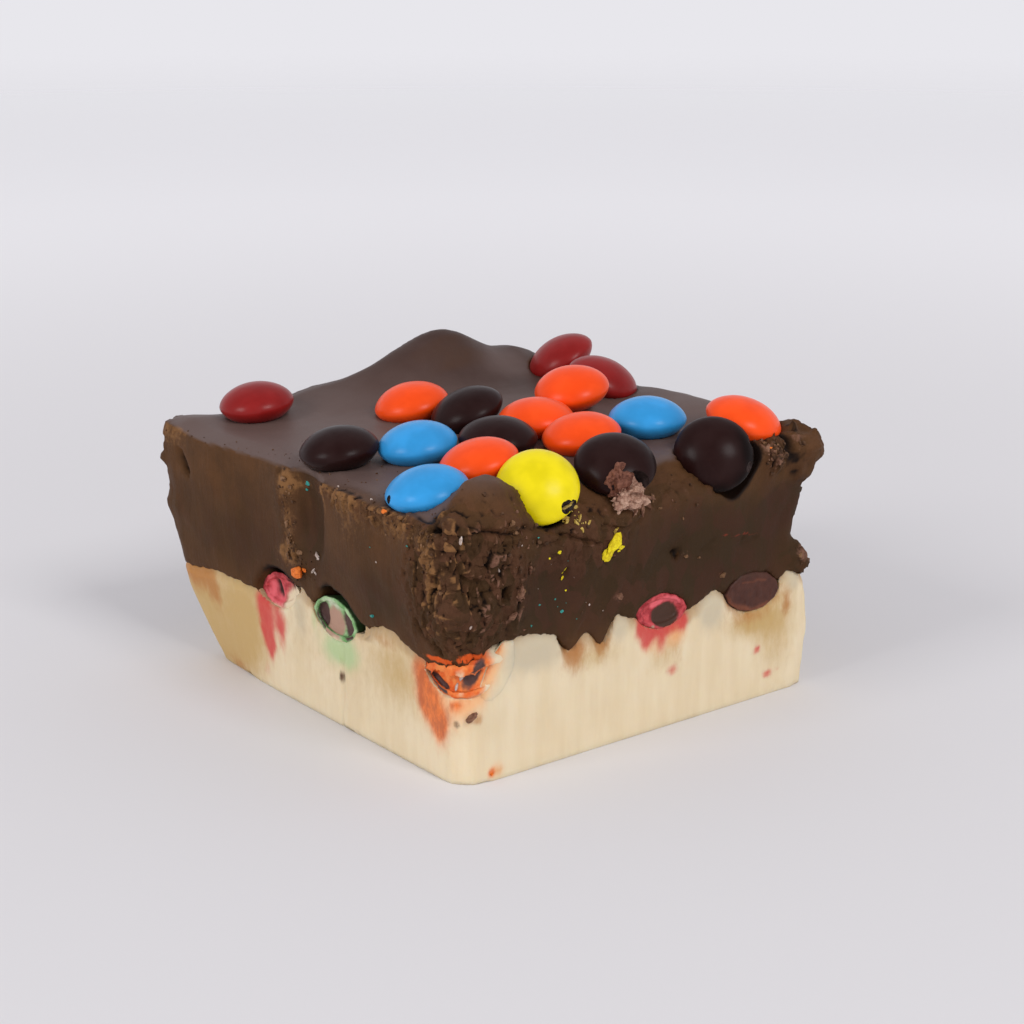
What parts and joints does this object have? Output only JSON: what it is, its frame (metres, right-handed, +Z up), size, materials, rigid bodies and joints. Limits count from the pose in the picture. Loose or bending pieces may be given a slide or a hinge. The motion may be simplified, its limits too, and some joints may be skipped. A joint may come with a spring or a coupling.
{
  "type": "two-layer fudge square",
  "caption": "Cut square of fudge, cream base under dark chocolate, small sugar-shelled chocolate lentils pressed into the top and caught in the seam.",
  "frame": {"origin": "middle of the whole square's box in X and Y, on the surface it stands on", "axes": "+Z up; the front cut face looks along -Y, the left cut face along -X"},
  "size_m": [0.0606, 0.0616, 0.039],
  "materials": {
    "cream_fudge": "smooth knife-cut cream fudge, waxy, faintly translucent, with soft colour streaks",
    "chocolate_fudge": "dense dark chocolate fudge, satin, lighter and dusty where it is broken",
    "shell_red": "polished sugar shell, dark red",
    "shell_orange": "polished sugar shell, orange",
    "shell_blue": "polished sugar shell, mid blue",
    "shell_brown": "polished sugar shell, dark brown",
    "shell_yellow": "polished sugar shell, lemon yellow",
    "shell_green": "polished sugar shell, bright green"
  },
  "bodies": {
    "root": {"cream_layer": "cream_fudge", "chocolate_layer": "chocolate_fudge", "lentil_red_1": "shell_red", "lentil_red_2": "shell_red", "lentil_red_3": "shell_red", "lentil_orange_1": "shell_orange", "lentil_orange_2": "shell_orange", "lentil_orange_3": "shell_orange", "lentil_orange_4": "shell_orange", "lentil_orange_5": "shell_orange", "lentil_orange_6": "shell_orange", "lentil_blue_1": "shell_blue", "lentil_blue_2": "shell_blue", "lentil_blue_3": "shell_blue", "lentil_brown_1": "shell_brown", "lentil_brown_2": "shell_brown", "lentil_brown_3": "shell_brown", "lentil_brown_4": "shell_brown", "lentil_brown_5": "shell_brown", "lentil_yellow_1": "shell_yellow", "cut_lentil_red_1": "shell_red", "cut_lentil_green_1": "shell_green", "cut_lentil_orange_1": "shell_orange", "cut_lentil_red_2": "shell_red", "cut_lentil_brown_1": "shell_brown"}
  },
  "joints": []
}
